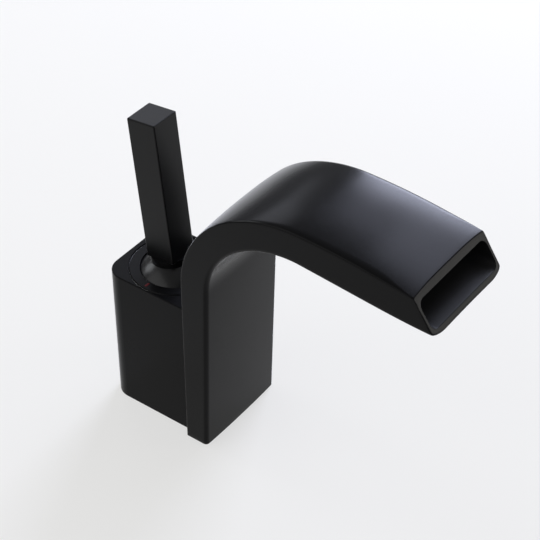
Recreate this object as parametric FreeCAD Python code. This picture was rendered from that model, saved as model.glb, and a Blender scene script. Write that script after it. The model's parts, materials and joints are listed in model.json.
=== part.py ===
import FreeCAD, Part
import math
import os

# Waterfall basin faucet with a joystick lever, in millimetres.
# The origin lies on the axis of the cartridge and of the cap ring, at the deck.
# +X points along the spout, +Z up. The visible hot side is -Y.

V = FreeCAD.Vector
X = V(1, 0, 0)
Y = V(0, 1, 0)
Z = V(0, 0, 1)

# ---------------------------------------------------------------- fits
running_gap = 0.05        # radial clearance of a shaft in its bore
seat_gap = 0.05           # radial clearance of a piece that seats in a bore
face_gap = 0.10           # play between faces that move past each other
skin_gap = 0.02           # between two curved faces that bear on each other
screw_play = 0.5          # clearance hole over its screw
groove_play = 0.05        # room on each side of a seal ring in its groove
socket_play = 0.3         # room past the end of a shank in its socket
cut_over = 1.0            # how far a cutting tool runs past the face it cuts
fuse_over = 0.5           # how far two fused forms run into each other
level_tolerance = 0.01    # for finding edges by their height

# ---------------------------------------------------------------- body block
body_width = 42.5
body_front = 23.5         # from the ring axis to the face that carries the spout
body_back = 23.0          # from the ring axis to the rear face
body_height = 70.5
body_corner = 8.8         # radius of the two rear upright corners
body_top_edge = 0.45      # rounding of the rim of the top face

# ---------------------------------------------------------------- spout
spout_width = 50.0
leg_thickness = 11.3      # at the deck
leg_thickness_top = 13.7  # where the bend starts
bend_start = 88.0         # height of the straight leg
bend_reach = 58.0         # outer bend, half axis along X
bend_rise = 53.5          # outer bend, half axis along Z
bend_thickness = 13.9     # halfway round the bend
crest_thickness = 15.1    # where the bend ends
mouth_top_reach = 110.5   # upper lip, from the leg's rear face
mouth_low_reach = 120.85  # lower lip, from the leg's rear face
crest_droop = 5.3         # fall of the upper face from the crest to the upper lip
mouth_low_drop = 15.2     # lower lip below the upper lip
underside_swell = 0.2     # bulge of the arm's underside, two thirds of the way to the lip
swell_scale = 27 / 4      # makes that bulge's curve peak at its stated height
crown = 1.1               # bulge of the outer face between its two edges
inner_bulge = 0.5         # bulge of the inner face
inner_edge = 1.9          # rounding of the long inner edges
lip_edge = 5.0            # rounding of the mouth's lower corners
lip_growth = 8            # power by which the inner edges grow into it
wall_top = 2.4
wall_side = 1.3
wall_low = 2.9
leg_wall = 2.2            # front and rear walls of the hollow leg
duct_corner = 2.4         # corner radius of the duct
mouth_corner = 3.4        # corner radius of the duct at the mouth
duct_floor = 14.0         # height where the duct in the leg ends
crown_full = 46.0         # turn round the bend where the crown is fully formed
bend_turns = (0, 4, 12, 22, 34, 46, 58, 70, 81, 90)
mouth_shares = (0.2, 0.4, 0.6, 0.75, 0.86, 0.94, 1.0)

# ---------------------------------------------------------------- spout joint
port_height = 21.0        # axis of the mixed water port
port_radius = 3.8
spigot_radius = 5.5
spigot_length = 6.0
port_ring_section = 1.0   # section diameter of the port's seal ring
lug_length = 9.5
lug_width = 20.0
lug_height = 8.0
screw_radius = 1.6        # core of an M4 thread
screw_spacing = 12.0
screw_grip = 5.0          # into the body above the lug
screw_head_radius = 3.5
screw_head_height = 2.2
screw_slot = 0.8

# ---------------------------------------------------------------- base
gasket_inset = 2.0
gasket_band = 2.6
gasket_thickness = 1.5
stud_radius = 3.4         # tapping size of an M8 stud
stud_depth = 14.0
inlet_radius = 4.5        # tapping size of an M10 x 1 hose end
inlet_depth = 12.0
inlet_x = -10.0
inlet_y = 8.0
riser_radius = 2.2

# ---------------------------------------------------------------- lever geometry
pivot_height = 54.5       # centre of the dome and of the lever's hinge
lever_lean = 5.7          # degrees back from upright when the valve is shut
lever_travel = 15.0       # degrees from shut to fully open
dome_at_ring = 14.7       # radius of the dome in the plane of the body's top
hole_at_ring = 15.45      # radius of the cap ring's hole in the same plane
dome_wall = 1.5
bar_side = 14.6
bar_length = 69.5
bar_stand = 0.57          # bar above the crown of the dome
bar_edge = 0.6
collar_radius = 9.0
hub_radius = 7.0
hub_room = 2.7            # hub above the rotor

# ---------------------------------------------------------------- cap ring
ring_radius = 20.25
ring_thickness = 3.0
ring_chamfer = 0.4
seam_chamfer = 0.45
hole_chamfer = 0.15
ring_seal_section = 0.76
ring_seal_rise = 1.3      # above the ring's lower face
ring_ledge = 0.7          # width of the step that the ring sits on
mark_inner = 16.3
mark_outer = 18.9
mark_width = 1.1
mark_depth = 0.6
mark_angle = 94.5         # from the spout's direction

# ---------------------------------------------------------------- cartridge
barrel_radius = 12.5      # the common 25 mm cartridge
barrel_wall = 1.7
foot_gap = 0.3            # cartridge above the floor of its bore, bridged by its seals
base_thickness = 4.8
disc_thickness = 3.0
moving_disc_radius = 8.0
water_port_radius = 2.1
side_port_x = -3.2
side_port_y = 5.4
mixed_port_x = 6.0
seal_ring_radius = 3.2
seal_section = 1.4
mixing_pocket_x = 3.4
mixing_pocket_radius = 3.0
mixing_pocket_depth = 1.4
carrier_plate = 3.2
tongue_width = 8.0
tongue_length = 11.0
tongue_height = 2.6
flange_thickness = 3.4
washer_thickness = 0.5
chamber_roof = 2.2        # housing over the rotor's flange
neck_height = 7.5         # housing above its shoulder
neck_wall = 1.9
rotor_neck_radius = 8.5
rotor_stand = 1.5         # rotor above the housing
rotor_seal_rise = 2.0     # above the housing's shoulder
rotor_seal_section = 0.8
nut_radius = 15.5
nut_height = 8.5
nut_slot = 3.0
nut_slot_angles = (45, 135)
nut_play = 0.15           # round the housing's neck
nut_headroom = 0.5        # bore above the nut
stem_thickness = 5.0
stem_eye = 3.6            # outer radius round the pivot pin
stem_arm = 3.6
stem_swing = 1.9          # room beside the stem's eye in the rotor's slot
stem_square = 6.0
stem_square_room = 1.3    # square shank above the rotor
stem_grip = 10.7          # shank inside the bar
ball_radius = 2.0
ball_reach = 9.5          # from the pivot down to the centre of the ball
ball_neck = 2.2           # round neck between the ball's centre and the flat arm
ball_neck_radius = 1.4
ball_cover = 1.15         # tongue above the centre of the ball
pin_radius = 1.25
pin_length = 16.0
grub_radius = 2.0
grub_rise = 5.7           # above the foot of the bar
grub_length = 3.2
grub_socket_depth = 1.5
plug_thickness = 0.9

# ---------------------------------------------------------------- worked out
# Heights on the lever run along its own axis from the pivot.
leg_back = body_front
dome_height = body_height - pivot_height
dome_radius = math.hypot(dome_at_ring, dome_height)
hole_sphere = math.hypot(hole_at_ring, dome_height)
hole_angle = math.degrees(math.atan2(hole_at_ring, dome_height))
dome_half_angle = hole_angle + lever_travel - lever_lean
bar_bottom = dome_radius + bar_stand
bar_top = bar_bottom + bar_length
stem_top = bar_bottom + stem_grip
grub_height = bar_bottom + grub_rise
crest_x = leg_back + bend_reach
crest_z = bend_start + bend_rise
mouth_top = V(leg_back + mouth_top_reach, 0, crest_z - crest_droop)
mouth_low = V(leg_back + mouth_low_reach, 0, mouth_top.z - mouth_low_drop)
recess_radius = ring_radius + seat_gap
pocket_radius = recess_radius - ring_ledge
ring_bottom = body_height - ring_thickness
ring_seal_height = ring_bottom + ring_seal_rise
disc_x = ball_reach * math.sin(math.radians(lever_lean))
ball_height = pivot_height - ball_reach * math.cos(math.radians(lever_lean))
tongue_top = ball_height + ball_cover
carrier_top = tongue_top - tongue_height
moving_disc_top = carrier_top - carrier_plate
fixed_disc_top = moving_disc_top - disc_thickness
base_top = fixed_disc_top - disc_thickness
cartridge_foot = base_top - base_thickness
seat_height = cartridge_foot - foot_gap
chamber_radius = barrel_radius - barrel_wall
loose_disc_radius = chamber_radius - face_gap
flange_bottom = carrier_top + 2 * face_gap
flange_top = flange_bottom + flange_thickness
chamber_top = flange_top + washer_thickness + face_gap
shoulder_height = chamber_top + chamber_roof
neck_radius = rotor_neck_radius + neck_wall
neck_top = shoulder_height + neck_height
rotor_top = neck_top + rotor_stand
hub_bottom = rotor_top - pivot_height + hub_room
stem_square_from = rotor_top - pivot_height + stem_square_room
rotor_seal_height = shoulder_height + rotor_seal_rise
pocket_floor = shoulder_height + nut_height + nut_headroom
lug_top = gasket_thickness + lug_height
screw_x = body_front - lug_length / 2
port_ring_x = body_front - spigot_length / 2
port_places = ((side_port_x, -side_port_y), (side_port_x, side_port_y), (mixed_port_x, 0.0))


# ---------------------------------------------------------------- helpers
def cylinder(radius, low, high, x=0.0, y=0.0):
    """Upright cylinder between two heights."""
    return Part.makeCylinder(radius, high - low, V(x, y, low), Z)


def cylinder_x(radius, start, end, z, y=0.0):
    """Cylinder along X between two x values."""
    return Part.makeCylinder(radius, end - start, V(start, y, z), X)


def cylinder_y(radius, half_length, x, z):
    """Cylinder along Y, centred on the mid-plane."""
    return Part.makeCylinder(radius, 2 * half_length, V(x, -half_length, z), Y)


def block(x0, x1, y0, y1, z0, z1):
    """Box between two corners."""
    return Part.makeBox(x1 - x0, y1 - y0, z1 - z0, V(x0, y0, z0))


def tube(outer, inner, low, high, x=0.0, y=0.0):
    """Upright tube."""
    return cylinder(outer, low, high, x, y).cut(cylinder(inner, low - cut_over, high + cut_over, x, y))


def ring_of_section(middle_radius, section, centre, axis=Z):
    """Seal ring: a torus whose section has the given diameter."""
    return Part.makeTorus(middle_radius, section / 2, centre, axis)


def leaned(shape):
    """Lever piece drawn upright about the pivot, put in its shut pose."""
    moved = shape.copy()
    moved.rotate(V(0, 0, 0), Y, -lever_lean)
    moved.translate(V(0, 0, pivot_height))
    return moved


def export(node, shape):
    """One STEP file per node."""
    clean = shape.removeSplitter()
    clean.exportStep("parts/" + node + ".step")
    box = clean.BoundBox
    print("%-22s solids %d valid %s volume %9.1f  x %.1f %.1f  y %.1f %.1f  z %.1f %.1f" % (
        node, len(clean.Solids), clean.isValid(), clean.Volume,
        box.XMin, box.XMax, box.YMin, box.YMax, box.ZMin, box.ZMax))


# ---------------------------------------------------------------- body block
def body_outline(inset, corner):
    """Plan of the body at the deck: square at the spout, round at the rear."""
    x0 = -body_back + inset
    x1 = body_front - inset
    half = body_width / 2 - inset
    slant = corner * (1 - math.sqrt(0.5))
    edges = [
        Part.LineSegment(V(x1, half, 0), V(x0 + corner, half, 0)).toShape(),
        Part.Arc(V(x0 + corner, half, 0), V(x0 + slant, half - slant, 0), V(x0, half - corner, 0)).toShape(),
        Part.LineSegment(V(x0, half - corner, 0), V(x0, corner - half, 0)).toShape(),
        Part.Arc(V(x0, corner - half, 0), V(x0 + slant, slant - half, 0), V(x0 + corner, -half, 0)).toShape(),
        Part.LineSegment(V(x0 + corner, -half, 0), V(x1, -half, 0)).toShape(),
        Part.LineSegment(V(x1, -half, 0), V(x1, half, 0)).toShape(),
    ]
    return Part.Face(Part.Wire(edges))


def top_rim_edges(shape):
    """Edges of the top face, without the one along the spout."""
    found = []
    for edge in shape.Edges:
        box = edge.BoundBox
        on_top = box.ZMin > body_height - level_tolerance
        at_spout = box.XMin > body_front - level_tolerance
        if on_top and not at_spout:
            found.append(edge)
    return found


def gasket_groove(depth):
    """Band under the body that holds the gasket."""
    outer = body_outline(gasket_inset, body_corner - gasket_inset)
    inner_inset = gasket_inset + gasket_band
    inner = body_outline(inner_inset, body_corner - inner_inset)
    return outer.cut(inner).extrude(V(0, 0, depth))


def make_body_block():
    """The cast body with the cartridge bore, water ways and mounting holes."""
    body = body_outline(0, body_corner).extrude(V(0, 0, body_height))
    body = body.makeFillet(body_top_edge, top_rim_edges(body))
    seam = Part.makeCone(recess_radius, recess_radius + seam_chamfer, seam_chamfer,
                         V(0, 0, body_height - seam_chamfer), Z)
    cuts = [
        seam,
        cylinder(recess_radius, ring_bottom, body_height + cut_over),
        cylinder(pocket_radius, pocket_floor, body_height),
        cylinder(nut_radius + seat_gap, shoulder_height, pocket_floor + cut_over),
        cylinder(barrel_radius + seat_gap, seat_height, shoulder_height + cut_over),
        cylinder(water_port_radius, port_height, seat_height + cut_over, mixed_port_x),
        cylinder_x(port_radius, mixed_port_x - water_port_radius, body_front, port_height),
        cylinder_x(spigot_radius + seat_gap, body_front - spigot_length - face_gap,
                   body_front + cut_over, port_height),
        cylinder(stud_radius, -cut_over, stud_depth),
        gasket_groove(gasket_thickness),
        lug_pocket(),
    ]
    for side in (-1, 1):
        cuts.append(cylinder(inlet_radius, -cut_over, inlet_depth, inlet_x, side * inlet_y))
        cuts.append(riser(side))
        cuts.append(cylinder(screw_radius + seat_gap, lug_top - cut_over,
                             lug_top + screw_grip + socket_play, screw_x, side * screw_spacing / 2))
    for tool in cuts:
        body = body.cut(tool)
    return body


def riser(side):
    """Slanted water way from a hose inlet up to the cartridge."""
    start = V(inlet_x + riser_radius, side * inlet_y, inlet_depth - riser_radius)
    end = V(side_port_x, side * side_port_y, seat_height + fuse_over)
    return Part.makeCylinder(riser_radius, (end - start).Length, start, end - start)


def lug_pocket():
    """Pocket under the body that takes the spout's lug."""
    half = lug_width / 2 + seat_gap
    return block(body_front - lug_length - seat_gap, body_front + cut_over,
                 -half, half, -cut_over, lug_top)


# ---------------------------------------------------------------- spout
def outer_point(turn):
    """Point of the outer bend line; turn runs from 0 at the leg to 90 at the crest."""
    t = math.radians(turn)
    return V(crest_x - bend_reach * math.cos(t), 0, bend_start + bend_rise * math.sin(t))


def outer_normal(turn):
    """Unit vector into the slab, square to the outer bend line."""
    t = math.radians(turn)
    n = V(math.cos(t) * bend_rise, 0, -math.sin(t) * bend_reach)
    return n.normalize()


def bend_depth(turn):
    """Thickness of the slab round the bend, through its three stated values."""
    share = turn / 90.0
    start = leg_thickness_top * (1 - share) * (1 - 2 * share)
    middle = bend_thickness * 4 * share * (1 - share)
    end = crest_thickness * share * (2 * share - 1)
    return start + middle + end


def crest_point(share):
    """Point of the outer line from the crest, 0, to the upper lip, 1."""
    x = crest_x + (mouth_top.x - crest_x) * share
    return V(x, 0, crest_z - crest_droop * share * share)


def underside_point(share):
    """Point of the inner line below the crest, 0, to the lower lip, 1."""
    start = outer_point(90) + outer_normal(90) * crest_thickness
    run = mouth_low - start
    down = V(run.z, 0, -run.x).normalize()
    swell = underside_swell * swell_scale * share * share * (1 - share)
    return start + run * share + down * swell


def stations():
    """Outer point, inner point, crown and mouth share of each section past the leg."""
    found = []
    for turn in bend_turns:
        outer = outer_point(turn)
        swell = crown * min(1.0, turn / crown_full)
        found.append((outer, outer + outer_normal(turn) * bend_depth(turn), swell, 0.0))
    for share in mouth_shares:
        found.append((crest_point(share), underside_point(share), crown, share))
    return found


def section_wire(outer, inner, swell, edge, bulge, side):
    """Closed section of the slab: crowned outside, flat sides, rounded inner edges."""
    depth = inner - outer
    thickness = depth.Length
    down = depth * (1.0 / thickness)

    def at(y, d):
        return outer + Y * y + down * d

    def curve(points):
        line = Part.BezierCurve()
        line.setPoles(points)
        return line.toShape()

    flat = thickness - edge
    low = side - edge
    slant = edge * (1 - math.sqrt(0.5))
    return Part.Wire([
        curve([at(-side, 0), at(0, -2 * swell), at(side, 0)]),
        Part.LineSegment(at(side, 0), at(side, flat)).toShape(),
        Part.Arc(at(side, flat), at(side - slant, thickness - slant), at(low, thickness)).toShape(),
        curve([at(low, thickness), at(0, thickness + 2 * bulge), at(-low, thickness)]),
        Part.Arc(at(-low, thickness), at(slant - side, thickness - slant), at(-side, flat)).toShape(),
        Part.LineSegment(at(-side, flat), at(-side, 0)).toShape(),
    ])


def duct_wire(outer, inner, share, rear_wall, front_wall):
    """Closed section of the duct: a rounded rectangle inside the slab's section."""
    depth = inner - outer
    down = depth * (1.0 / depth.Length)
    top = rear_wall
    low = depth.Length - front_wall
    side = spout_width / 2 - wall_side
    radius = duct_corner + (mouth_corner - duct_corner) * share
    slant = radius * (1 - math.sqrt(0.5))

    def at(y, d):
        return outer + Y * y + down * d

    return Part.Wire([
        Part.LineSegment(at(radius - side, top), at(side - radius, top)).toShape(),
        Part.Arc(at(side - radius, top), at(side - slant, top + slant), at(side, top + radius)).toShape(),
        Part.LineSegment(at(side, top + radius), at(side, low - radius)).toShape(),
        Part.Arc(at(side, low - radius), at(side - slant, low - slant), at(side - radius, low)).toShape(),
        Part.LineSegment(at(side - radius, low), at(radius - side, low)).toShape(),
        Part.Arc(at(radius - side, low), at(slant - side, low - slant), at(-side, low - radius)).toShape(),
        Part.LineSegment(at(-side, low - radius), at(-side, top + radius)).toShape(),
        Part.Arc(at(-side, top + radius), at(slant - side, top + slant), at(radius - side, top)).toShape(),
    ])


def leg_front(z):
    """Inner line of the leg at a height."""
    return leg_back + leg_thickness + (leg_thickness_top - leg_thickness) * z / bend_start


def make_spout_skin():
    """Outside of the spout, solid: the upright leg and the lofted arch."""
    side = spout_width / 2
    foot = section_wire(V(leg_back, 0, 0), V(leg_front(0), 0, 0), 0, inner_edge, inner_bulge, side)
    neck = section_wire(V(leg_back, 0, bend_start), V(leg_front(bend_start), 0, bend_start),
                        0, inner_edge, inner_bulge, side)
    leg = Part.makeLoft([foot, neck], True, True)
    wires = []
    for outer, inner, swell, share in stations():
        edge = inner_edge + (lip_edge - inner_edge) * share ** lip_growth
        wires.append(section_wire(outer, inner, swell, edge, inner_bulge * (1 - share), side))
    return leg, Part.makeLoft(wires, True, False)


def make_duct():
    """Hollow of the spout, from the leg's closed foot to the open mouth."""
    low = duct_wire(V(leg_back, 0, duct_floor), V(leg_front(duct_floor), 0, duct_floor),
                    0, leg_wall, leg_wall)
    neck = duct_wire(V(leg_back, 0, bend_start), V(leg_front(bend_start), 0, bend_start),
                     0, leg_wall, leg_wall)
    leg = Part.makeLoft([low, neck], True, True)
    wires = []
    for outer, inner, swell, share in stations():
        turned = (outer.x - leg_back) / (mouth_top.x - leg_back)
        top = leg_wall + (wall_top - leg_wall) * turned
        bottom = leg_wall + (wall_low - leg_wall) * turned
        wires.append(duct_wire(outer, inner, share, top, bottom))
    arch = Part.makeLoft(wires, True, False)
    lip = mouth_low - mouth_top
    out = V(-lip.z, 0, lip.x).normalize()
    mouth = Part.Face(wires[-1]).extrude(out * cut_over)
    return leg, arch, mouth


def make_spout_shell():
    """The hollow spout with its water spigot and fixing lug."""
    leg, arch = make_spout_skin()
    shell = leg.fuse(arch)
    spigot_start = body_front - spigot_length
    shell = shell.fuse(cylinder_x(spigot_radius, spigot_start, leg_back + leg_wall, port_height))
    half = lug_width / 2
    shell = shell.fuse(block(body_front - lug_length, leg_back + leg_wall, -half, half,
                             gasket_thickness, lug_top))
    for hollow in make_duct():
        shell = shell.cut(hollow)
    shell = shell.cut(cylinder_x(port_radius, spigot_start - cut_over,
                                 leg_back + leg_thickness / 2, port_height))
    groove_half = port_ring_section / 2 + groove_play
    shell = shell.cut(tube_x(spigot_radius + cut_over, spigot_radius - port_ring_section,
                             port_ring_x - groove_half, port_ring_x + groove_half))
    head_top = gasket_thickness + screw_head_height
    for side in (-1, 1):
        y = side * screw_spacing / 2
        shell = shell.cut(cylinder(screw_radius + screw_play, 0, lug_top + cut_over, screw_x, y))
        shell = shell.cut(cylinder(screw_head_radius + screw_play, 0, head_top, screw_x, y))
    return shell


def tube_x(outer, inner, start, end):
    """Ring-shaped cutter round the port's axis."""
    return cylinder_x(outer, start, end, port_height).cut(
        cylinder_x(inner, start - cut_over, end + cut_over, port_height))


def make_spout_port_oring():
    """Seal ring in the spigot's groove."""
    return ring_of_section(spigot_radius - port_ring_section / 2, port_ring_section,
                           V(port_ring_x, 0, port_height), X)


def make_spout_screws():
    """Two cheese-head screws, from below through the lug into the body."""
    head_top = gasket_thickness + screw_head_height
    slot_top = gasket_thickness + screw_head_height / 2
    half = screw_slot / 2
    screws = []
    for side in (-1, 1):
        y = side * screw_spacing / 2
        head = cylinder(screw_head_radius, gasket_thickness, head_top, screw_x, y)
        shank = cylinder(screw_radius, head_top, lug_top + screw_grip, screw_x, y)
        slot = block(screw_x - screw_head_radius, screw_x + screw_head_radius,
                     y - half, y + half, 0, slot_top)
        screws.append(head.fuse(shank).cut(slot))
    return Part.makeCompound(screws)


# ---------------------------------------------------------------- cap ring and dome
def make_cap_ring():
    """Ring let into the top of the body; its hole follows the dome."""
    ring = cylinder(ring_radius, ring_bottom, body_height)
    ring = ring.cut(Part.makeSphere(hole_sphere, V(0, 0, pivot_height)))
    bevel = Part.makeCone(ring_radius, ring_radius - ring_chamfer, ring_chamfer,
                          V(0, 0, body_height - ring_chamfer), Z)
    rim = cylinder(ring_radius + cut_over, body_height - ring_chamfer, body_height + cut_over)
    ring = ring.cut(rim.cut(bevel))
    ring = ring.cut(Part.makeCone(hole_at_ring, hole_at_ring + hole_chamfer, hole_chamfer,
                                  V(0, 0, body_height - hole_chamfer), Z))
    groove_half = ring_seal_section / 2 + groove_play
    ring = ring.cut(tube(ring_radius + cut_over, ring_radius - ring_seal_section - groove_play,
                         ring_seal_height - groove_half, ring_seal_height + groove_half))
    for angle in (-mark_angle, mark_angle):
        ring = ring.cut(mark_shape(angle))
    return ring


def mark_shape(angle):
    """Short radial dash in the ring's upper face."""
    dash = block(mark_inner, mark_outer, -mark_width / 2, mark_width / 2,
                 body_height - mark_depth, body_height)
    dash.rotate(V(0, 0, 0), Z, angle)
    return dash


def make_cap_ring_seal():
    """Seal ring round the cap ring."""
    return ring_of_section(ring_radius - ring_seal_section / 2, ring_seal_section,
                           V(0, 0, ring_seal_height))


def make_dome_cover():
    """Shell of a sphere about the pivot, open below and for the lever's hub."""
    shell = Part.makeSphere(dome_radius).cut(Part.makeSphere(dome_radius - dome_wall))
    edge = dome_radius * math.cos(math.radians(dome_half_angle))
    size = 2 * dome_radius
    shell = shell.cut(block(-size, size, -size, size, -size, edge))
    shell = shell.cut(cylinder(hub_radius + seat_gap, 0, size))
    return leaned(shell)


# ---------------------------------------------------------------- lever
def lever_bore(radius, start, end):
    """Cylinder square to the rear face of the bar, at the grub screw's height."""
    return Part.makeCylinder(radius, end - start, V(-start, 0, grub_height), V(-1, 0, 0))


def make_handle_bar():
    """Square bar, round collar on the dome and hub over the stem."""
    half = bar_side / 2
    bar = block(-half, half, -half, half, bar_bottom, bar_top)
    bar = bar.makeFillet(bar_edge, bar.Edges)
    collar_foot = dome_radius * math.cos(math.asin(collar_radius / dome_radius)) - fuse_over
    collar = cylinder(collar_radius, collar_foot, bar_bottom + bar_edge)
    collar = collar.cut(Part.makeSphere(dome_radius + skin_gap))
    hub = cylinder(hub_radius, hub_bottom, bar_bottom + bar_edge)
    lever = bar.fuse(collar).fuse(hub)
    socket = stem_square / 2 + seat_gap
    lever = lever.cut(block(-socket, socket, -socket, socket, 0, stem_top + socket_play))
    lever = lever.cut(lever_bore(grub_radius + seat_gap, 0, bar_side))
    return leaned(lever)


def make_handle_grub_screw():
    """Grub screw that clamps the bar to the stem."""
    start = stem_square / 2 + seat_gap
    screw = lever_bore(grub_radius, start, start + grub_length)
    end = start + grub_length
    socket = lever_bore(grub_radius / 2, end - grub_socket_depth, end + cut_over)
    return leaned(screw.cut(socket))


def make_handle_screw_plug():
    """Flush plug over the grub screw."""
    return leaned(lever_bore(grub_radius, bar_side / 2 - plug_thickness, bar_side / 2))


def make_cartridge_stem():
    """Flat stem on the pivot pin, a square shank above and a ball below."""
    half = stem_thickness / 2
    stem = cylinder_y(stem_eye, half, 0, 0)
    side = stem_square / 2
    stem = stem.fuse(block(-side, side, -half, half, 0, stem_square_from + fuse_over))
    stem = stem.fuse(block(-side, side, -side, side, stem_square_from, stem_top))
    stem = stem.fuse(block(-stem_arm / 2, stem_arm / 2, -half, half, ball_neck - ball_reach, 0))
    stem = stem.fuse(cylinder(ball_neck_radius, -ball_reach, ball_neck + fuse_over - ball_reach))
    stem = stem.fuse(Part.makeSphere(ball_radius, V(0, 0, -ball_reach)))
    stem = stem.cut(cylinder_y(pin_radius + running_gap, half + cut_over, 0, 0))
    return leaned(stem)


# ---------------------------------------------------------------- cartridge
def drill_ports(shape, low, high):
    """Cut the hot, cold and mixed ports."""
    for x, y in port_places:
        shape = shape.cut(cylinder(water_port_radius, low - cut_over, high + cut_over, x, y))
    return shape


def make_cartridge_housing():
    """Barrel that holds the discs, with a neck that guides the rotor."""
    shell = cylinder(barrel_radius, cartridge_foot, shoulder_height)
    shell = shell.fuse(cylinder(neck_radius, shoulder_height - fuse_over, neck_top))
    shell = shell.cut(cylinder(chamber_radius, cartridge_foot - cut_over, chamber_top))
    shell = shell.cut(cylinder(rotor_neck_radius + running_gap,
                               chamber_top - cut_over, neck_top + cut_over))
    half = rotor_seal_section / 2 + groove_play
    root = rotor_neck_radius + face_gap + rotor_seal_section + groove_play
    return shell.cut(cylinder(root, rotor_seal_height - half, rotor_seal_height + half))


def make_cartridge_base():
    """Foot of the cartridge with its three ports and the grooves of their seals."""
    foot = cylinder(chamber_radius - seat_gap, cartridge_foot, base_top)
    foot = drill_ports(foot, cartridge_foot, base_top)
    half = seal_section / 2 + groove_play
    groove_top = seat_height + seal_section + groove_play
    for x, y in port_places:
        foot = foot.cut(tube(seal_ring_radius + half, seal_ring_radius - half,
                             cartridge_foot - cut_over, groove_top, x, y))
    return foot


def make_cartridge_seals():
    """Three seal rings between the cartridge and the floor of its bore."""
    height = seat_height + seal_section / 2
    return Part.makeCompound([ring_of_section(seal_ring_radius, seal_section, V(x, y, height))
                              for x, y in port_places])


def make_fixed_disc():
    """Lower ceramic disc, with a port for each water way."""
    disc = cylinder(loose_disc_radius, base_top, fixed_disc_top)
    return drill_ports(disc, base_top, fixed_disc_top)


def make_moving_disc():
    """Upper ceramic disc, with the pocket that joins the ports."""
    disc = cylinder(moving_disc_radius, fixed_disc_top, moving_disc_top, disc_x)
    pocket = cylinder(mixing_pocket_radius, fixed_disc_top - cut_over,
                      fixed_disc_top + mixing_pocket_depth, disc_x + mixing_pocket_x)
    return disc.cut(pocket)


def make_disc_carrier():
    """Plate on the moving disc, with a tongue for the rotor and a socket for the ball."""
    plate = cylinder(moving_disc_radius, moving_disc_top, carrier_top, disc_x)
    tongue = block(disc_x - tongue_length / 2, disc_x + tongue_length / 2,
                   -tongue_width / 2, tongue_width / 2, carrier_top, tongue_top)
    socket = cylinder(ball_radius + face_gap, ball_height - ball_radius - socket_play,
                      tongue_top + cut_over, disc_x)
    return plate.fuse(tongue).cut(socket)


def make_cartridge_rotor():
    """Turret that turns in the housing, slotted for the stem and for the carrier's tongue."""
    rotor = cylinder(loose_disc_radius, flange_bottom, flange_top)
    rotor = rotor.fuse(cylinder(rotor_neck_radius, flange_top - fuse_over, rotor_top))
    channel = tongue_width / 2 + running_gap
    rotor = rotor.cut(block(-chamber_radius, chamber_radius, -channel, channel,
                            flange_bottom - cut_over, tongue_top + 2 * face_gap))
    slot = stem_thickness / 2 + face_gap
    reach = stem_eye + stem_swing
    rotor = rotor.cut(block(-reach, reach, -slot, slot, flange_bottom, rotor_top + cut_over))
    return rotor.cut(cylinder_y(pin_radius + seat_gap, rotor_neck_radius + cut_over, 0, pivot_height))


def make_pivot_pin():
    """Pin across the rotor that carries the stem."""
    return cylinder_y(pin_radius, pin_length / 2, 0, pivot_height)


def make_rotor_washer():
    """Glide washer between the rotor's flange and the housing."""
    return tube(loose_disc_radius, rotor_neck_radius + face_gap,
                flange_top, flange_top + washer_thickness)


def make_lock_nut():
    """Ring nut over the cartridge's shoulder, with slots for its key."""
    top = shoulder_height + nut_height
    nut = tube(nut_radius, neck_radius + nut_play, shoulder_height, top)
    half = nut_slot / 2
    reach = nut_radius + cut_over
    for angle in nut_slot_angles:
        slot = block(-reach, reach, -half, half, top - nut_slot, top + cut_over)
        slot.rotate(V(0, 0, 0), Z, angle)
        nut = nut.cut(slot)
    return nut


def make_rotor_seal():
    """Seal ring round the rotor's neck."""
    return ring_of_section(rotor_neck_radius + face_gap + rotor_seal_section / 2, rotor_seal_section,
                           V(0, 0, rotor_seal_height))


os.makedirs("parts", exist_ok=True)
export("body_block", make_body_block())
export("spout_shell", make_spout_shell())
export("spout_port_oring", make_spout_port_oring())
export("spout_screws", make_spout_screws())
export("base_gasket", gasket_groove(gasket_thickness))
export("cartridge_housing", make_cartridge_housing())
export("cartridge_base", make_cartridge_base())
export("cartridge_seals", make_cartridge_seals())
export("fixed_ceramic_disc", make_fixed_disc())
export("moving_ceramic_disc", make_moving_disc())
export("disc_carrier", make_disc_carrier())
export("cartridge_rotor", make_cartridge_rotor())
export("rotor_washer", make_rotor_washer())
export("rotor_seal", make_rotor_seal())
export("stem_pivot_pin", make_pivot_pin())
export("cartridge_stem", make_cartridge_stem())
export("cartridge_lock_nut", make_lock_nut())
export("cap_ring", make_cap_ring())
export("cap_ring_seal", make_cap_ring_seal())
export("hot_mark", mark_shape(-mark_angle))
export("cold_mark", mark_shape(mark_angle))
export("dome_cover", make_dome_cover())
export("handle_bar", make_handle_bar())
export("handle_grub_screw", make_handle_grub_screw())
export("handle_screw_plug", make_handle_screw_plug())
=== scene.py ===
import json
import math

import bmesh
import bpy
from mathutils import Matrix, Vector


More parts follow.
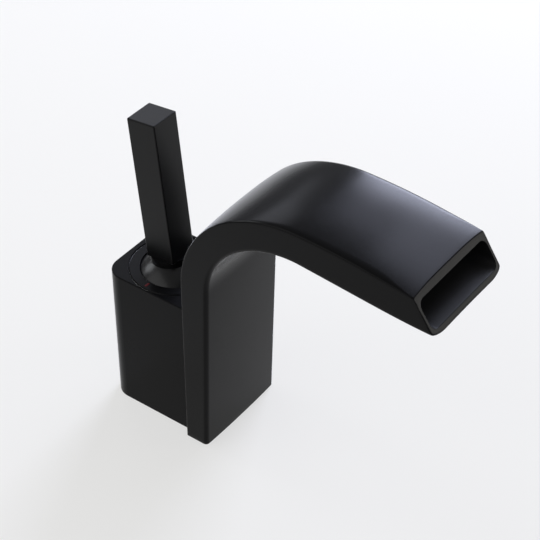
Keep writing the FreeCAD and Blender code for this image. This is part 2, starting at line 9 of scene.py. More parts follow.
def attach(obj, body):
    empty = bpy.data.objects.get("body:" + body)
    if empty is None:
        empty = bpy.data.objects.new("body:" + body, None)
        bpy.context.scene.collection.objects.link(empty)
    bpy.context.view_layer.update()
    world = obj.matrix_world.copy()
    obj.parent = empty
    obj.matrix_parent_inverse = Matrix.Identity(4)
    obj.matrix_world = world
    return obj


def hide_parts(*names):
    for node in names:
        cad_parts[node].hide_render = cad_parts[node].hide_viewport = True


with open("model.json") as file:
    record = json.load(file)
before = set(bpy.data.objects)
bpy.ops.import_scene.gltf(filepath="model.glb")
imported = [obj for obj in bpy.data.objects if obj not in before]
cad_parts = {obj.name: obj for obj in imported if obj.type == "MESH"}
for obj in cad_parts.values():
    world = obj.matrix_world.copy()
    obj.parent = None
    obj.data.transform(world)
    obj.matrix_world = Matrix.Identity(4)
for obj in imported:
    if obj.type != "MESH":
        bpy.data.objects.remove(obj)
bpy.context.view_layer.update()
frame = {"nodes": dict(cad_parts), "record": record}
nodes = frame["nodes"]

# Waterfall basin faucet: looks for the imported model. Metres, origin on the cartridge's upright
# axis in the plane of the deck, +X along the spout, +Z up. The photographed side is -Y.

mm = 0.001


def place_object(name, data):
    """New object in the scene."""
    placed = bpy.data.objects.new(name, data)
    bpy.context.scene.collection.objects.link(placed)
    return placed


# ------------------------------------------------------------------ camera
CAMERA_PLACE = Vector((358.8, -420.9, 523.8)) * mm
CAMERA_AZIMUTH = math.radians(36.164)
CAMERA_ELEVATION = math.radians(39.588)
CAMERA_ROLL = math.radians(0.067)
CAMERA_LENS = 109.15          # mm
CAMERA_SENSOR = 36.0          # mm
CLIP_NEAR = 10 * mm
CLIP_FAR = 20.0


def make_camera():
    """Camera at the photograph's place, level with its frame."""
    data = bpy.data.cameras.new("camera")
    data.lens = CAMERA_LENS
    data.sensor_width = CAMERA_SENSOR
    data.clip_start = CLIP_NEAR
    data.clip_end = CLIP_FAR
    camera = place_object("camera", data)
    turn = Matrix.Rotation(CAMERA_AZIMUTH, 4, "Z")
    lift = Matrix.Rotation(math.pi / 2 - CAMERA_ELEVATION, 4, "X")
    roll = Matrix.Rotation(CAMERA_ROLL, 4, "Z")
    camera.matrix_world = Matrix.Translation(CAMERA_PLACE) @ turn @ lift @ roll
    bpy.context.scene.camera = camera


# ------------------------------------------------------------------ node helpers
class Tree:
    """Short calls for building a node tree from nothing."""

    def __init__(self, tree):
        self.tree = tree
        self.nodes = tree.nodes
        self.nodes.clear()

    def add(self, kind, inputs=None, **values):
        """Node of a kind, with its properties set first and then the values of its inputs."""
        node = self.nodes.new(kind)
        for key, value in values.items():
            setattr(node, key, value)
        for key, value in (inputs or {}).items():
            node.inputs[key].default_value = value
        return node

    def link(self, out, socket):
        self.tree.links.new(out, socket)


def new_material(name):
    """Material and its empty node tree."""
    material = bpy.data.materials.new(name)
    material.use_nodes = True
    return material, Tree(material.node_tree)


# ------------------------------------------------------------------ floor
FLOOR_SIZE = 8.0
FLOOR_COLOUR = (0.262, 0.258, 0.242, 1)
PAINTED_FLOOR_GLOW_NEAR = 0.61             # painted light: glow added for camera, mirror and glass rays near the faucet, stronger there as a painted pool of light
PAINTED_FLOOR_GLOW_FAR = 0.42         # the same in the distance
PAINTED_POOL_INNER = 0.40             # m from the origin, where the one starts to change to the other
PAINTED_POOL_OUTER = 1.2              # and where it has changed


def make_floor():
    """Pale floor that keeps the object's shadow, with a painted pool of light: it glows for
    camera, mirror and glass rays, more near the faucet than in the distance.
    """
    mesh = bpy.data.meshes.new("floor")
    half = FLOOR_SIZE / 2
    corners = [(-half, -half, 0), (half, -half, 0), (half, half, 0), (-half, half, 0)]
    mesh.from_pydata(corners, [], [(0, 1, 2, 3)])
    floor = place_object("floor", mesh)
    material, t = new_material("floor_paper")
    out = t.add("ShaderNodeOutputMaterial")
    diffuse = t.add("ShaderNodeBsdfDiffuse", {"Color": FLOOR_COLOUR})
    glow = t.add("ShaderNodeEmission")
    rays = t.add("ShaderNodeLightPath")
    seen = rays.outputs["Is Camera Ray"]
    for ray in ("Is Glossy Ray", "Is Transmission Ray"):
        either = t.add("ShaderNodeMath", operation="ADD", use_clamp=True)
        t.link(seen, either.inputs[0])
        t.link(rays.outputs[ray], either.inputs[1])
        seen = either.outputs[0]
    place = t.add("ShaderNodeTexCoord")
    reach = t.add("ShaderNodeVectorMath", operation="LENGTH")
    # painted pool of light: the floor's glow is stronger near the faucet than far away, and the
    # faucet's surfaces reflect it as painted reflection
    fade = t.add("ShaderNodeMapRange", {"From Min": PAINTED_POOL_INNER, "From Max": PAINTED_POOL_OUTER,
                                        "To Min": PAINTED_FLOOR_GLOW_NEAR, "To Max": PAINTED_FLOOR_GLOW_FAR},
                 interpolation_type="SMOOTHSTEP")
    t.link(place.outputs["Object"], reach.inputs[0])
    t.link(reach.outputs["Value"], fade.inputs["Value"])
    strength = t.add("ShaderNodeMath", operation="MULTIPLY")
    t.link(seen, strength.inputs[0])
    t.link(fade.outputs["Result"], strength.inputs[1])
    t.link(strength.outputs[0], glow.inputs["Strength"])
    mixed = t.add("ShaderNodeAddShader")
    t.link(diffuse.outputs[0], mixed.inputs[0])
    t.link(glow.outputs[0], mixed.inputs[1])
    t.link(mixed.outputs[0], out.inputs["Surface"])
    mesh.materials.append(material)


# ------------------------------------------------------------------ world
HORIZON_STRENGTH = 0.15
SKY_STRENGTH = 0.45
SKY_START = 0.45              # sine of the height from which the sky has its full strength


def make_world():
    """Studio surround: dim at the horizon, lighter above."""
    world = bpy.data.worlds.new("studio")
    bpy.context.scene.world = world
    world.use_nodes = True
    t = Tree(world.node_tree)
    out = t.add("ShaderNodeOutputWorld")
    back = t.add("ShaderNodeBackground")
    place = t.add("ShaderNodeTexCoord")
    split = t.add("ShaderNodeSeparateXYZ")
    fade = t.add("ShaderNodeMapRange", {"From Max": SKY_START, "To Min": HORIZON_STRENGTH,
                                        "To Max": SKY_STRENGTH},
                 interpolation_type="SMOOTHSTEP")
    t.link(place.outputs["Generated"], split.inputs[0])
    t.link(split.outputs["Z"], fade.inputs["Value"])
    t.link(fade.outputs["Result"], back.inputs["Strength"])
    t.link(back.outputs[0], out.inputs["Surface"])


# ------------------------------------------------------------------ lamps
LAMP_AIM = Vector((50, 0, 50)) * mm
LAMP_DISTANCE = 1.3
COLD = (0.76, 0.80, 1.0)
COOL = (0.86, 0.89, 1.0)
PALE = (0.93, 0.96, 1.0)
WHITE = (1.0, 1.0, 1.0)
WARM = (1.0, 0.98, 0.94)
LAMPS = [
    # name, azimuth and elevation in degrees, width and height in m, watts, colour
    ("back_box", 104, 29, 0.5, 0.55, 15.5, COLD),
    ("back_high", 91, 46, 0.5, 0.5, 3.6, COLD),
    ("back_low", 104, 12, 0.5, 0.22, 2.2, COLD),
    ("back_left", 145, 32, 0.45, 0.45, 1.2, COOL),
    ("left_box", 182, 28, 0.4, 0.4, 2.1, PALE),
    ("right_low", 38, 11, 0.5, 0.5, 2.4, WARM),
    ("front_left", 236, 38, 1.2, 1, 3.6, WHITE),
]


def make_lamps():
    """Soft boxes round the object, each turned to it."""
    for name, azimuth, elevation, width, height, watts, colour in LAMPS:
        data = bpy.data.lights.new(name, "AREA")
        data.shape = "RECTANGLE"
        data.size = width
        data.size_y = height
        data.energy = watts
        data.color = colour
        lamp = place_object(name, data)
        turn = Matrix.Rotation(math.radians(azimuth), 3, "Z")
        lift = Matrix.Rotation(math.radians(-elevation), 3, "Y")
        away = turn @ lift @ Vector((LAMP_DISTANCE, 0, 0))
        lamp.location = LAMP_AIM + away
        lamp.rotation_euler = away.to_track_quat("Z", "Y").to_euler()


# ------------------------------------------------------------------ mesh helpers
ROUND_STEPS = 4               # pieces in a corner that soften rounds off


def smooth(t):
    """Ease from 0 to 1 with level ends."""
    t = max(0.0, min(1.0, t))
    return t * t * (3 - 2 * t)


def mix(a, b, share):
    """Value from a, at share 0, to b, at share 1."""
    return a + (b - a) * share


def quarter(k, steps):
    """Sine and cosine at step k of steps through a right angle."""
    a = math.pi / 2 * k / steps
    return math.sin(a), math.cos(a)


def compass(count, phase=0.0):
    """Cosine and sine at even steps once round; phase is the share of a step before the first."""
    turns = [2 * math.pi * (k + phase) / count for k in range(count)]
    return [(math.cos(a), math.sin(a)) for a in turns]


def circle(radius, z, count, phase=0.0, x=0.0, y=0.0):
    """Level ring of points round x, y."""
    return [Vector((x + radius * c, y + radius * s, z)) for c, s in compass(count, phase)]


def soften(path, breaks):
    """Path of points with the corners named in breaks {index: set-back} rounded off."""
    result = []
    for i, p in enumerate(path):
        if i not in breaks:
            result.append(p)
            continue
        before = (path[i - 1] - p).normalized() * breaks[i]
        after = (path[i + 1] - p).normalized() * breaks[i]
        for step in range(ROUND_STEPS + 1):
            t = step / ROUND_STEPS
            result.append(p + before * (1 - t) * (1 - t) + after * t * t)
    return result


def skin(rings, closed=False):
    """Quads between rings of equal count; closed joins the last ring to the first."""
    count = len(rings[0])
    points = [p for ring in rings for p in ring]
    faces = []
    pairs = len(rings) if closed else len(rings) - 1
    for i in range(pairs):
        a = i * count
        b = (i + 1) % len(rings) * count
        for k in range(count):
            n = (k + 1) % count
            faces.append((a + k, a + n, b + n, b + k))
    return points, faces


def capped(rings):
    """Open skin whose two end rings are closed by fans round their middles."""
    points, faces = skin(rings)
    count = len(rings[0])
    for ring, start in ((rings[0], 0), (rings[-1], (len(rings) - 1) * count)):
        points.append(sum(ring, Vector()) / count)
        hub = len(points) - 1
        for k in range(count):
            faces.append((start + k, start + (k + 1) % count, hub))
    return points, faces


def make_piece(name, parts, sharp_angle):
    """Mesh object from (points in mm, faces) parts, shaded smooth up to sharp_angle degrees."""
    bm = bmesh.new()
    for points, faces in parts:
        verts = [bm.verts.new(p * mm) for p in points]
        for face in faces:
            bm.faces.new([verts[i] for i in face])
    bmesh.ops.recalc_face_normals(bm, faces=bm.faces)
    mesh = bpy.data.meshes.new(name)
    bm.to_mesh(mesh)
    bm.free()
    mesh.polygons.foreach_set("use_smooth", [True] * len(mesh.polygons))
    mesh.set_sharp_from_angle(angle=math.radians(sharp_angle))
    return place_object(name, mesh)


# ------------------------------------------------------------------ spout
# Lengths in mm, as in the solids.
SPOUT_WIDTH = 50.0
LEG_BACK = 23.5
LEG_THICKNESS = 11.3
LEG_THICKNESS_TOP = 13.7
BEND_START = 88.0
BEND_TURN = 90.0              # degrees, from the leg to the crest
BEND_REACH = 58.0
BEND_RISE = 53.5
BEND_THICKNESS = 13.9         # half-way round
CREST_THICKNESS = 15.1
CREST_X = LEG_BACK + BEND_REACH
CREST_Z = BEND_START + BEND_RISE
CREST_DROOP = 5.3
MOUTH_TOP = Vector((134.0, 0, 136.2))
MOUTH_LOW = Vector((144.35, 0, 121.0))
UNDERSIDE_SWELL = 0.2
SWELL_SCALE = 27 / 4          # share * share * (1 - share) peaks at 4 / 27
CROWN = 1.1
CROWN_FULL = 50.0             # degrees round the bend
CROWN_POWER = 2.0             # of the crown's profile where it starts
CROWN_POWER_ARM = 3.4         # the same on the arm, where its middle is flatter
INNER_BULGE = 0.5
INNER_EDGE = 1.9              # rounding of the long inner edges
LIP_EDGE_WIDTH = 8.0          # rounding of the lip's lower corners, along the lip
LIP_EDGE = 2.6                # and up its sides
LIP_GROWTH = 8                # power of the arm share by which they grow from the inner edges
OUTER_EDGE = 0.55             # rounding of the long outer edges round the bend
ARM_EDGE_WIDTH = 3.2          # the same on the arm's shoulders, across the top
ARM_EDGE_DEPTH = 1.0          # and down the side
SHOULDER_START = 42.0         # degrees round the bend, where the shoulders start
SHOULDER_TURN = 60.0          # degrees in which they would be full there
SHOULDER_GROWTH = 2.0         # how fast they go on growing, over the arm's length
SHOULDER_FADE = 3.0           # and how fast they fade out before the lip
WALL_TOP = 2.4
WALL_SIDE = 1.5
WALL_LOW = 2.9
LEG_WALL = 2.2
DUCT_CORNER = 2.4
MOUTH_CORNER = 3.4
DUCT_FLOOR = 14.0
RIM_OUTER = 0.45              # set-back of the mouth's outer edge
RIM_LOWER = 1.25              # the same along the lower lip
RIM_GROWTH = 2.2              # how fast the one becomes the other down to that lip
RIM_INNER = 0.25
FOOT_EDGE = 0.35
FOOT_RING = 0.5               # where the underside has a ring, from its middle to its edge
LEG_LEVELS = (0.0, 3.0, 14.0, 30.0, 50.0, 70.0, 80.0)
BEND_STEPS = 36
ARM_STEPS = 22
TOP_STEPS = 32
SIDE_STEPS = 6
LOW_STEPS = 24
OUTER_STEPS = 8
INNER_STEPS = 10
SHARP_ANGLE = 50


def bend_station(turn):
    """Outer and inner point of a section round the bend, and its crown."""
    t = math.radians(turn)
    outer = Vector((CREST_X - BEND_REACH * math.cos(t), 0,
                    BEND_START + BEND_RISE * math.sin(t)))
    normal = Vector((math.cos(t) * BEND_RISE, 0, -math.sin(t) * BEND_REACH)).normalized()
    share = turn / BEND_TURN
    # quadratic through the three thicknesses
    depth = (LEG_THICKNESS_TOP * (1 - share) * (1 - 2 * share)
             + BEND_THICKNESS * 4 * share * (1 - share)
             + CREST_THICKNESS * share * (2 * share - 1))
    return outer, outer + normal * depth, CROWN * smooth(turn / CROWN_FULL)


def arm_station(share):
    """Outer and inner point of a section between the crest, 0, and the lip, 1, and its crown."""
    outer = Vector((mix(CREST_X, MOUTH_TOP.x, share), 0, CREST_Z - CREST_DROOP * share * share))
    start = Vector((CREST_X, 0, CREST_Z - CREST_THICKNESS))
    run = MOUTH_LOW - start
    down = Vector((run.z, 0, -run.x)).normalized()
    swell = UNDERSIDE_SWELL * SWELL_SCALE * share * share * (1 - share)
    return outer, start + run * share + down * swell, CROWN


def spout_stations():
    """Outer and inner point, crown, its power, arm share and shoulder share, deck to lip."""
    found = []
    for z in LEG_LEVELS:
        front = LEG_BACK + LEG_THICKNESS + (LEG_THICKNESS_TOP - LEG_THICKNESS) * z / BEND_START
        found.append((Vector((LEG_BACK, 0, z)), Vector((front, 0, z)), 0.0, CROWN_POWER, 0.0, 0.0))
    for k in range(BEND_STEPS):
        turn = BEND_TURN * k / BEND_STEPS
        power = mix(CROWN_POWER, CROWN_POWER_ARM, smooth(turn / BEND_TURN))
        shoulder = smooth((turn - SHOULDER_START) / SHOULDER_TURN)
        found.append((*bend_station(turn), power, 0.0, shoulder))
    for k in range(ARM_STEPS + 1):
        share = k / ARM_STEPS
        grown = (BEND_TURN - SHOULDER_START) / SHOULDER_TURN + share * SHOULDER_GROWTH
        faded = 1 + (share - 1) * SHOULDER_FADE
        shoulder = smooth(grown) * (1 - smooth(faded))
        found.append((*arm_station(share), CROWN_POWER_ARM, share, shoulder))
    return found


def once_round(outer, down, top, top_arc, flank, low_arc, bottom):
    """Points of one section, from its top corner on the -Y side.

    Each function gives its step's place across the spout and depth below outer: top from -Y
    to +Y, then top_arc, flank and low_arc down the +Y side, and bottom back to -Y. The -Y
    side mirrors the +Y side.
    """
    half = [top_arc(k) for k in range(OUTER_STEPS + 1)]
    half += [flank(k) for k in range(1, SIDE_STEPS)]
    half += [low_arc(k) for k in range(INNER_STEPS + 1)]
    flat = [top(k) for k in range(TOP_STEPS)] + half
    flat += [bottom(k) for k in range(1, LOW_STEPS)]
    flat += [(-y, d) for y, d in reversed(half[1:])]
    return [outer + Vector((0, y, 0)) + down * d for y, d in flat]


def section(outer, inner, crown, power, share, shoulder):
    """Outside of the slab at one station."""
    side = SPOUT_WIDTH / 2
    depth = (inner - outer).length
    grown = share ** LIP_GROWTH
    edge = mix(INNER_EDGE, LIP_EDGE, grown)
    edge_width = mix(INNER_EDGE, LIP_EDGE_WIDTH, grown)
    top_edge = mix(OUTER_EDGE, ARM_EDGE_DEPTH, shoulder)
    top_width = mix(OUTER_EDGE, ARM_EDGE_WIDTH, shoulder)
    bulge = INNER_BULGE * (1 - share)
    reach = side - top_width
    low = side - edge_width

    def crowned(y):
        return -crown * (1 - abs(y / side) ** power)

    def top(k):
        y = -reach * math.cos(math.pi * k / TOP_STEPS)
        return y, crowned(y)

    def top_arc(k):
        sine, cosine = quarter(k, OUTER_STEPS)
        y = reach + top_width * sine
        return y, crowned(y) + top_edge * (1 - cosine)

    def flank(k):
        return side, top_edge + (depth - edge - top_edge) * smooth(k / SIDE_STEPS)

    def low_arc(k):
        sine, cosine = quarter(k, INNER_STEPS)
        return side - edge_width * (1 - cosine), depth - edge * (1 - sine)

    def bottom(k):
        y = low * math.cos(math.pi * k / LOW_STEPS)
        return y, depth + bulge * (1 - (y / low) ** 2)

    return once_round(outer, (inner - outer) / depth, top, top_arc, flank, low_arc, bottom)


def duct(outer, inner, share, rear, front):
    """Inside of the slab at one station, point for point like the outside."""
    side = SPOUT_WIDTH / 2 - WALL_SIDE
    depth = (inner - outer).length
    radius = mix(DUCT_CORNER, MOUTH_CORNER, share)
    low = depth - front
    reach = side - radius

    def top(k):
        return -reach * math.cos(math.pi * k / TOP_STEPS), rear

    def top_arc(k):
        sine, cosine = quarter(k, OUTER_STEPS)
        return reach + radius * sine, rear + radius * (1 - cosine)

    def flank(k):
        return side, rear + radius + (low - rear - 2 * radius) * k / SIDE_STEPS

    def low_arc(k):
        sine, cosine = quarter(k, INNER_STEPS)
        return side - radius * (1 - cosine), low - radius * (1 - sine)

    def bottom(k):
        return reach * math.cos(math.pi * k / LOW_STEPS), low

    return once_round(outer, (inner - outer) / depth, top, top_arc, flank, low_arc, bottom)


def make_spout_surface():
    """The waterfall spout: crowned slab, rounded mouth rim and open duct."""
    stations = spout_stations()
    outside = [section(*station) for station in stations]
    inside = []
    for outer, inner, _, _, share, _ in stations:
        if outer.z < DUCT_FLOOR:
            continue
        along = (outer.x - LEG_BACK) / (MOUTH_TOP.x - LEG_BACK)
        inside.append(duct(outer, inner, share, mix(LEG_WALL, WALL_TOP, along),
                           mix(LEG_WALL, WALL_LOW, along)))
    count = len(outside[0])
    lip_top, lip_low = stations[-1][:2]
    depth = (lip_low - lip_top).length
    down = (lip_low - lip_top) / depth
    middle = Vector((LEG_BACK + LEG_THICKNESS / 2, 0, 0))
    lip = len(outside)
    lines = []
    for k in range(count):
        path = [middle + (outside[0][k] - middle) * FOOT_RING]
        path += [ring[k] for ring in outside]
        path += [ring[k] for ring in reversed(inside)]
        sunk = (outside[-1][k] - lip_top).dot(down) / depth
        rim = mix(RIM_OUTER, RIM_LOWER, smooth(1 + (sunk - 1) * RIM_GROWTH))
        lines.append(soften(path, {1: FOOT_EDGE, lip: rim, lip + 1: RIM_INNER}))
    rings = [[line[i] for line in lines] for i in range(len(lines[0]))]
    piece = make_piece("spout_surface", [capped(rings)] + spigot_parts(), SHARP_ANGLE)
    # each of the three softened corners adds ROUND_STEPS rings; the duct has the second look,
    # whose lighter colour is painted light inside the duct
    duct_start = (lip + 1 + 3 * ROUND_STEPS) * count
    duct_end = (len(rings) - 1) * count
    for face in piece.data.polygons[duct_start:duct_end]:
        face.material_index = 1
    return piece


# ------------------------------------------------------------------ spigot and lug, in the body
PORT_HEIGHT = 21.0
PORT_RADIUS = 3.8
SPIGOT_RADIUS = 5.5
SPIGOT_LENGTH = 6.0
SPIGOT_ROOT = 1.0             # how far the spigot runs into the leg
SPIGOT_GROOVE = 1.0           # width and depth
SMALL_CHAMFER = 0.3
LUG_LENGTH = 9.5
LUG_WIDTH = 20.0
LUG_BOTTOM = 1.5
LUG_TOP = 9.5
SCREW_HOLE = 2.1              # radius
HEAD_HOLE = 4.0               # radius
HEAD_HOLE_TOP = 3.7
SCREW_SPACING = 12.0
HOLE_STEPS = 48
HALF_STEP = 0.5               # keeps points off the axes of a ring


def lug_outline(centre, z, inset):
    """Outline of the lug's half round one screw, point for point like the screw's hole."""
    wall_x = LUG_LENGTH / 2 - inset
    ring = []
    for c, s in compass(HOLE_STEPS, HALF_STEP):
        wall_y = LUG_WIDTH / 2 - inset - abs(centre.y) if s * centre.y > 0 else abs(centre.y)
        t = min(wall_x / abs(c), wall_y / abs(s))
        ring.append(Vector((centre.x + c * t, centre.y + s * t, z)))
    return ring


def spigot_parts():
    """Water spigot with its seal groove, and the lug with two stepped screw holes."""
    start = LEG_BACK + SPIGOT_ROOT
    end = LEG_BACK - SPIGOT_LENGTH
    groove = end + SPIGOT_LENGTH / 2
    half = SPIGOT_GROOVE / 2
    bottom = SPIGOT_RADIUS - SPIGOT_GROOVE
    profile = [(start, SPIGOT_RADIUS), (groove + half, SPIGOT_RADIUS), (groove + half, bottom),
               (groove - half, bottom), (groove - half, SPIGOT_RADIUS),
               (end + SMALL_CHAMFER, SPIGOT_RADIUS), (end, SPIGOT_RADIUS - SMALL_CHAMFER),
               (end, PORT_RADIUS), (start, PORT_RADIUS)]
    rings = [[Vector((x, p.x, PORT_HEIGHT + p.y)) for p in circle(radius, 0, HOLE_STEPS)]
             for x, radius in profile]
    parts = [skin(rings, True)]
    for side in (-1, 1):
        centre = Vector((LEG_BACK - LUG_LENGTH / 2, side * SCREW_SPACING / 2, 0))
        rings = [lug_outline(centre, LUG_TOP, 0),
                 lug_outline(centre, LUG_BOTTOM + SMALL_CHAMFER, 0),
                 lug_outline(centre, LUG_BOTTOM, SMALL_CHAMFER)]
        for radius, z in ((HEAD_HOLE, LUG_BOTTOM), (HEAD_HOLE, HEAD_HOLE_TOP),
                          (SCREW_HOLE, HEAD_HOLE_TOP), (SCREW_HOLE, LUG_TOP)):
            rings.append(circle(radius, z, HOLE_STEPS, HALF_STEP, centre.x, centre.y))
        parts.append(skin(rings, True))
    return parts


# ------------------------------------------------------------------ dome
PIVOT_HEIGHT = 54.5
LEVER_LEAN = 5.7              # degrees back from upright, when shut
DOME_RADIUS = 21.73
DOME_WALL = 1.5
DOME_HALF_ANGLE = 53.3        # degrees from its crown to its lower edge
DOME_HOLE = 7.05              # radius
DOME_EDGE = 0.3
DOME_STEPS = 96
DOME_OUTER_STEPS = 40
DOME_INNER_STEPS = 20


def dome_arc(radius, start, end, steps):
    """Profile points at one radius, between two angles from the dome's axis."""
    turns = [mix(start, end, k / steps) for k in range(steps + 1)]
    return [Vector((radius * math.sin(a), 0, radius * math.cos(a))) for a in turns]


def make_dome_surface():
    """Polished shell under the lever, with a rounded lower edge."""
    inner = DOME_RADIUS - DOME_WALL
    edge = math.radians(DOME_HALF_ANGLE)
    inner_edge = math.acos(DOME_RADIUS * math.cos(edge) / inner)
    profile = dome_arc(DOME_RADIUS, math.asin(DOME_HOLE / DOME_RADIUS), edge, DOME_OUTER_STEPS)
    profile += dome_arc(inner, inner_edge, math.asin(DOME_HOLE / inner), DOME_INNER_STEPS)
    profile = soften(profile, {DOME_OUTER_STEPS: DOME_EDGE, DOME_OUTER_STEPS + 1: DOME_EDGE})
    points, faces = skin([circle(p.x, p.z, DOME_STEPS) for p in profile], True)
    lean = Matrix.Rotation(math.radians(-LEVER_LEAN), 4, "Y")
    shut = Matrix.Translation((0, 0, PIVOT_HEIGHT)) @ lean
    return make_piece("dome_surface", [([shut @ p for p in points], faces)], SHARP_ANGLE)


# ------------------------------------------------------------------ marks on the ring
RING_TOP = 70.5
MARK_MIDDLE = 17.6            # from the ring's axis
MARK_LENGTH = 2.6
MARK_WIDTH = 1.1
MARK_TURN = 94.5              # degrees from the spout's direction
MARK_CORNER = 0.30
MARK_PROFILE = [
    # height above the ring's top, inset: the enamel stands a little proud
    (-0.6, 0.02), (-0.03, 0.02), (0.01, 0.07), (0.05, 0.22), (0.06, 0.40),
]
MARK_STEPS = 32
MARK_SHARP_ANGLE = 60


def make_mark(name, side):
    """Enamel dash, let into the ring's upper face, with a domed top."""
    turn = Matrix.Rotation(math.radians(side * MARK_TURN), 4, "Z")
    rings = []
    for height, inset in MARK_PROFILE:
        radius = MARK_CORNER - inset / 2
        ring = []
        for c, s in compass(MARK_STEPS, HALF_STEP):
            x = math.copysign(MARK_LENGTH / 2 - inset - radius, c) + radius * c
            y = math.copysign(MARK_WIDTH / 2 - inset - radius, s) + radius * s
            ring.append(turn @ Vector((MARK_MIDDLE + x, y, RING_TOP + height)))
        rings.append(ring)
    return make_piece(name, [capped(rings)], MARK_SHARP_ANGLE)


# ------------------------------------------------------------------ finishes
BLACK = (0.003, 0.003, 0.00336)
BLACK_FLECK = (0.005, 0.005, 0.0054)
# slot: base colour, tint of its flecks,
#       roughness, its spread, metallic, specular level, coat,
#       size of the coarse grain in mm, size of the fine grain in mm, relief in mm
FINISHES = {
    "body_finish": (BLACK, BLACK_FLECK, 0.3, 0.03, 0, 0.07, 0.0, 1.3, 0.16, 0.0005),
    "spout_finish": (BLACK, BLACK_FLECK, 0.24, 0.03, 0, 0.105, 0.0, 1.3, 0.16, 0.0005),
    # duct_finish: base colour and flecks several times lighter than the black outside, as painted
    # light inside the duct coming in at its mouth
    "duct_finish": ((0.013, 0.013, 0.0135), (0.020, 0.020, 0.021),
                    0.42, 0.06, 0, 0.06, 0.0, 1.1, 0.16, 0.003),
    "lever_finish": ((0.0032, 0.0032, 0.00358), BLACK_FLECK,
                     0.3, 0.03, 0, 0.16, 0.0, 1.3, 0.16, 0.0005),
    "ring_finish": (BLACK, BLACK_FLECK, 0.3, 0.03, 0, 0.085, 0.0, 1.2, 0.16, 0.0005),
    "dome_finish": (BLACK, BLACK_FLECK, 0.3, 0.03, 0, 0.29, 0.1, 1.6, 0.25, 0.0003),
    "plug_plastic": ((0.008, 0.008, 0.009), (0.014, 0.014, 0.015),
                     0.45, 0.08, 0, 0.3, 0.0, 0.8, 0.1, 0.003),
    "brass": ((0.72, 0.53, 0.26), (0.60, 0.42, 0.19),
              0.30, 0.12, 1, 0.5, 0.0, 2.2, 0.12, 0.004),
    "steel": ((0.55, 0.55, 0.56), (0.42, 0.42, 0.44),
              0.28, 0.12, 1, 0.5, 0.0, 1.8, 0.10, 0.003),
    "rubber": ((0.022, 0.022, 0.023), (0.040, 0.040, 0.041),
               0.75, 0.12, 0, 0.35, 0.0, 1.0, 0.12, 0.010),
    "cartridge_plastic": ((0.80, 0.80, 0.78), (0.72, 0.72, 0.70),
                          0.45, 0.08, 0, 0.45, 0.0, 3.0, 0.20, 0.003),
    "rotor_plastic": ((0.22, 0.24, 0.27), (0.17, 0.19, 0.22),
                      0.42, 0.08, 0, 0.45, 0.0, 2.4, 0.20, 0.003),
    "washer_plastic": ((0.90, 0.90, 0.89), (0.82, 0.82, 0.81),
                       0.50, 0.08, 0, 0.40, 0.0, 2.0, 0.15, 0.002),
    "ceramic": ((0.86, 0.85, 0.81), (0.78, 0.77, 0.73),
                0.20, 0.06, 0, 0.55, 0.2, 1.5, 0.10, 0.001),
    "red_enamel": ((0.13, 0.008, 0.012), (0.10, 0.006, 0.009),
                   0.38, 0.06, 0, 0.15, 0.0, 0.6, 0.08, 0.002),
    "blue_enamel": ((0.010, 0.030, 0.13), (0.008, 0.024, 0.10),
                    0.38, 0.06, 0, 0.15, 0.0, 0.6, 0.08, 0.002),
}
COAT_ROUGHNESS = 0.12
SATIN = ("body_finish", "spout_finish", "lever_finish", "ring_finish")
SATIN_SHEEN = 1.0             # the lacquer turns pale where it is seen edge on
SATIN_SHEEN_ROUGHNESS = 0.22
COARSE_DETAIL = 2.0
FINE_DETAIL = 1.0
BROAD_GRAIN = 28              # mm, slow change of gloss over a whole piece
FLECK_START = 0.45            # fine grain's value where the flecks' tint starts
FLECK_FULL = 0.75             # and where it is full
GLOSS_LOW = 0.6               # broad and coarse grain added, where the roughness is least
GLOSS_HIGH = 1.4              # and where it is greatest
FINE_RELIEF = 1 / 4           # share of the relief


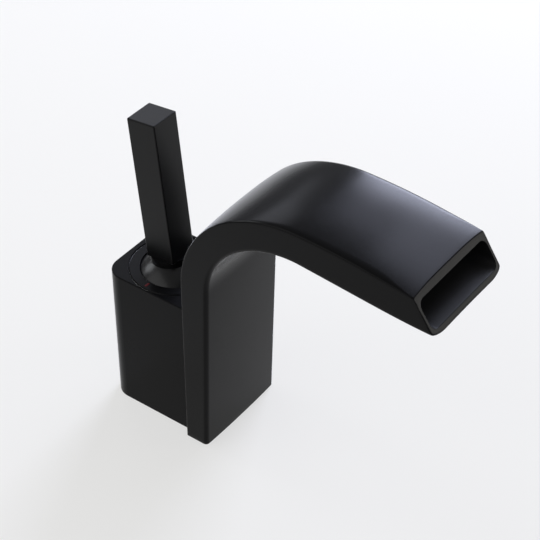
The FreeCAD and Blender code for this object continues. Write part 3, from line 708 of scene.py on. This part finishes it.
def make_finish(name):
    """Sprayed, moulded or turned surface: three grains drive its tint, gloss and relief."""
    colour, fleck, roughness, spread, metallic, level, coat, coarse, fine, relief = FINISHES[name]
    material, t = new_material(name + "_look")
    out = t.add("ShaderNodeOutputMaterial")
    shader = t.add("ShaderNodeBsdfPrincipled", {"Metallic": metallic, "Specular IOR Level": level,
                                                "Coat Weight": coat,
                                                "Coat Roughness": COAT_ROUGHNESS})
    if name in SATIN:
        shader.inputs["Sheen Weight"].default_value = SATIN_SHEEN
        shader.inputs["Sheen Roughness"].default_value = SATIN_SHEEN_ROUGHNESS
    place = t.add("ShaderNodeTexCoord")
    wide = t.add("ShaderNodeTexNoise", {"Scale": 1 / (coarse * mm), "Detail": COARSE_DETAIL})
    tight = t.add("ShaderNodeTexNoise", {"Scale": 1 / (fine * mm), "Detail": FINE_DETAIL})
    broad = t.add("ShaderNodeTexNoise", {"Scale": 1 / (BROAD_GRAIN * mm)})
    for noise in (wide, tight, broad):
        t.link(place.outputs["Object"], noise.inputs["Vector"])
    tint = t.add("ShaderNodeMix", {"A": (*colour, 1), "B": (*fleck, 1)}, data_type="RGBA")
    share = t.add("ShaderNodeMapRange", {"From Min": FLECK_START, "From Max": FLECK_FULL})
    t.link(tight.outputs["Fac"], share.inputs["Value"])
    t.link(share.outputs["Result"], tint.inputs["Factor"])
    t.link(tint.outputs["Result"], shader.inputs["Base Color"])
    gloss = t.add("ShaderNodeMath", operation="ADD")
    t.link(broad.outputs["Fac"], gloss.inputs[0])
    t.link(wide.outputs["Fac"], gloss.inputs[1])
    rough = t.add("ShaderNodeMapRange", {"From Min": GLOSS_LOW, "From Max": GLOSS_HIGH,
                                         "To Min": roughness - spread,
                                         "To Max": roughness + spread})
    t.link(gloss.outputs[0], rough.inputs["Value"])
    t.link(rough.outputs["Result"], shader.inputs["Roughness"])
    peel = t.add("ShaderNodeBump", {"Distance": relief * mm})
    t.link(wide.outputs["Fac"], peel.inputs["Height"])
    grain = t.add("ShaderNodeBump", {"Distance": relief * mm * FINE_RELIEF})
    t.link(tight.outputs["Fac"], grain.inputs["Height"])
    t.link(peel.outputs["Normal"], grain.inputs["Normal"])
    t.link(grain.outputs["Normal"], shader.inputs["Normal"])
    t.link(shader.outputs[0], out.inputs["Surface"])
    return material


def dress(piece, body, replaced, look):
    """Put a new piece on its body, in place of a CAD node."""
    piece.data.materials.append(look)
    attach(piece, body)
    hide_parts(replaced)


# ------------------------------------------------------------------ the scene
make_camera()
make_floor()
make_world()
make_lamps()
looks = {slot: make_finish(slot) for slot in FINISHES}
for part in frame["record"]["subparts"]:
    for slot in nodes[part["node"]].material_slots:
        slot.material = looks[part["material_slot"]]
spout = make_spout_surface()
dress(spout, "faucet_body", "spout_shell", looks["spout_finish"])
# the duct's look carries painted light: its colour is lighter than the spout's black
spout.data.materials.append(looks["duct_finish"])
dress(make_dome_surface(), "lever", "dome_cover", looks["dome_finish"])
dress(make_mark("hot_dash", -1), "faucet_body", "hot_mark", looks["red_enamel"])
dress(make_mark("cold_dash", 1), "faucet_body", "cold_mark", looks["blue_enamel"])
bpy.context.scene.view_settings.view_transform = "Standard"
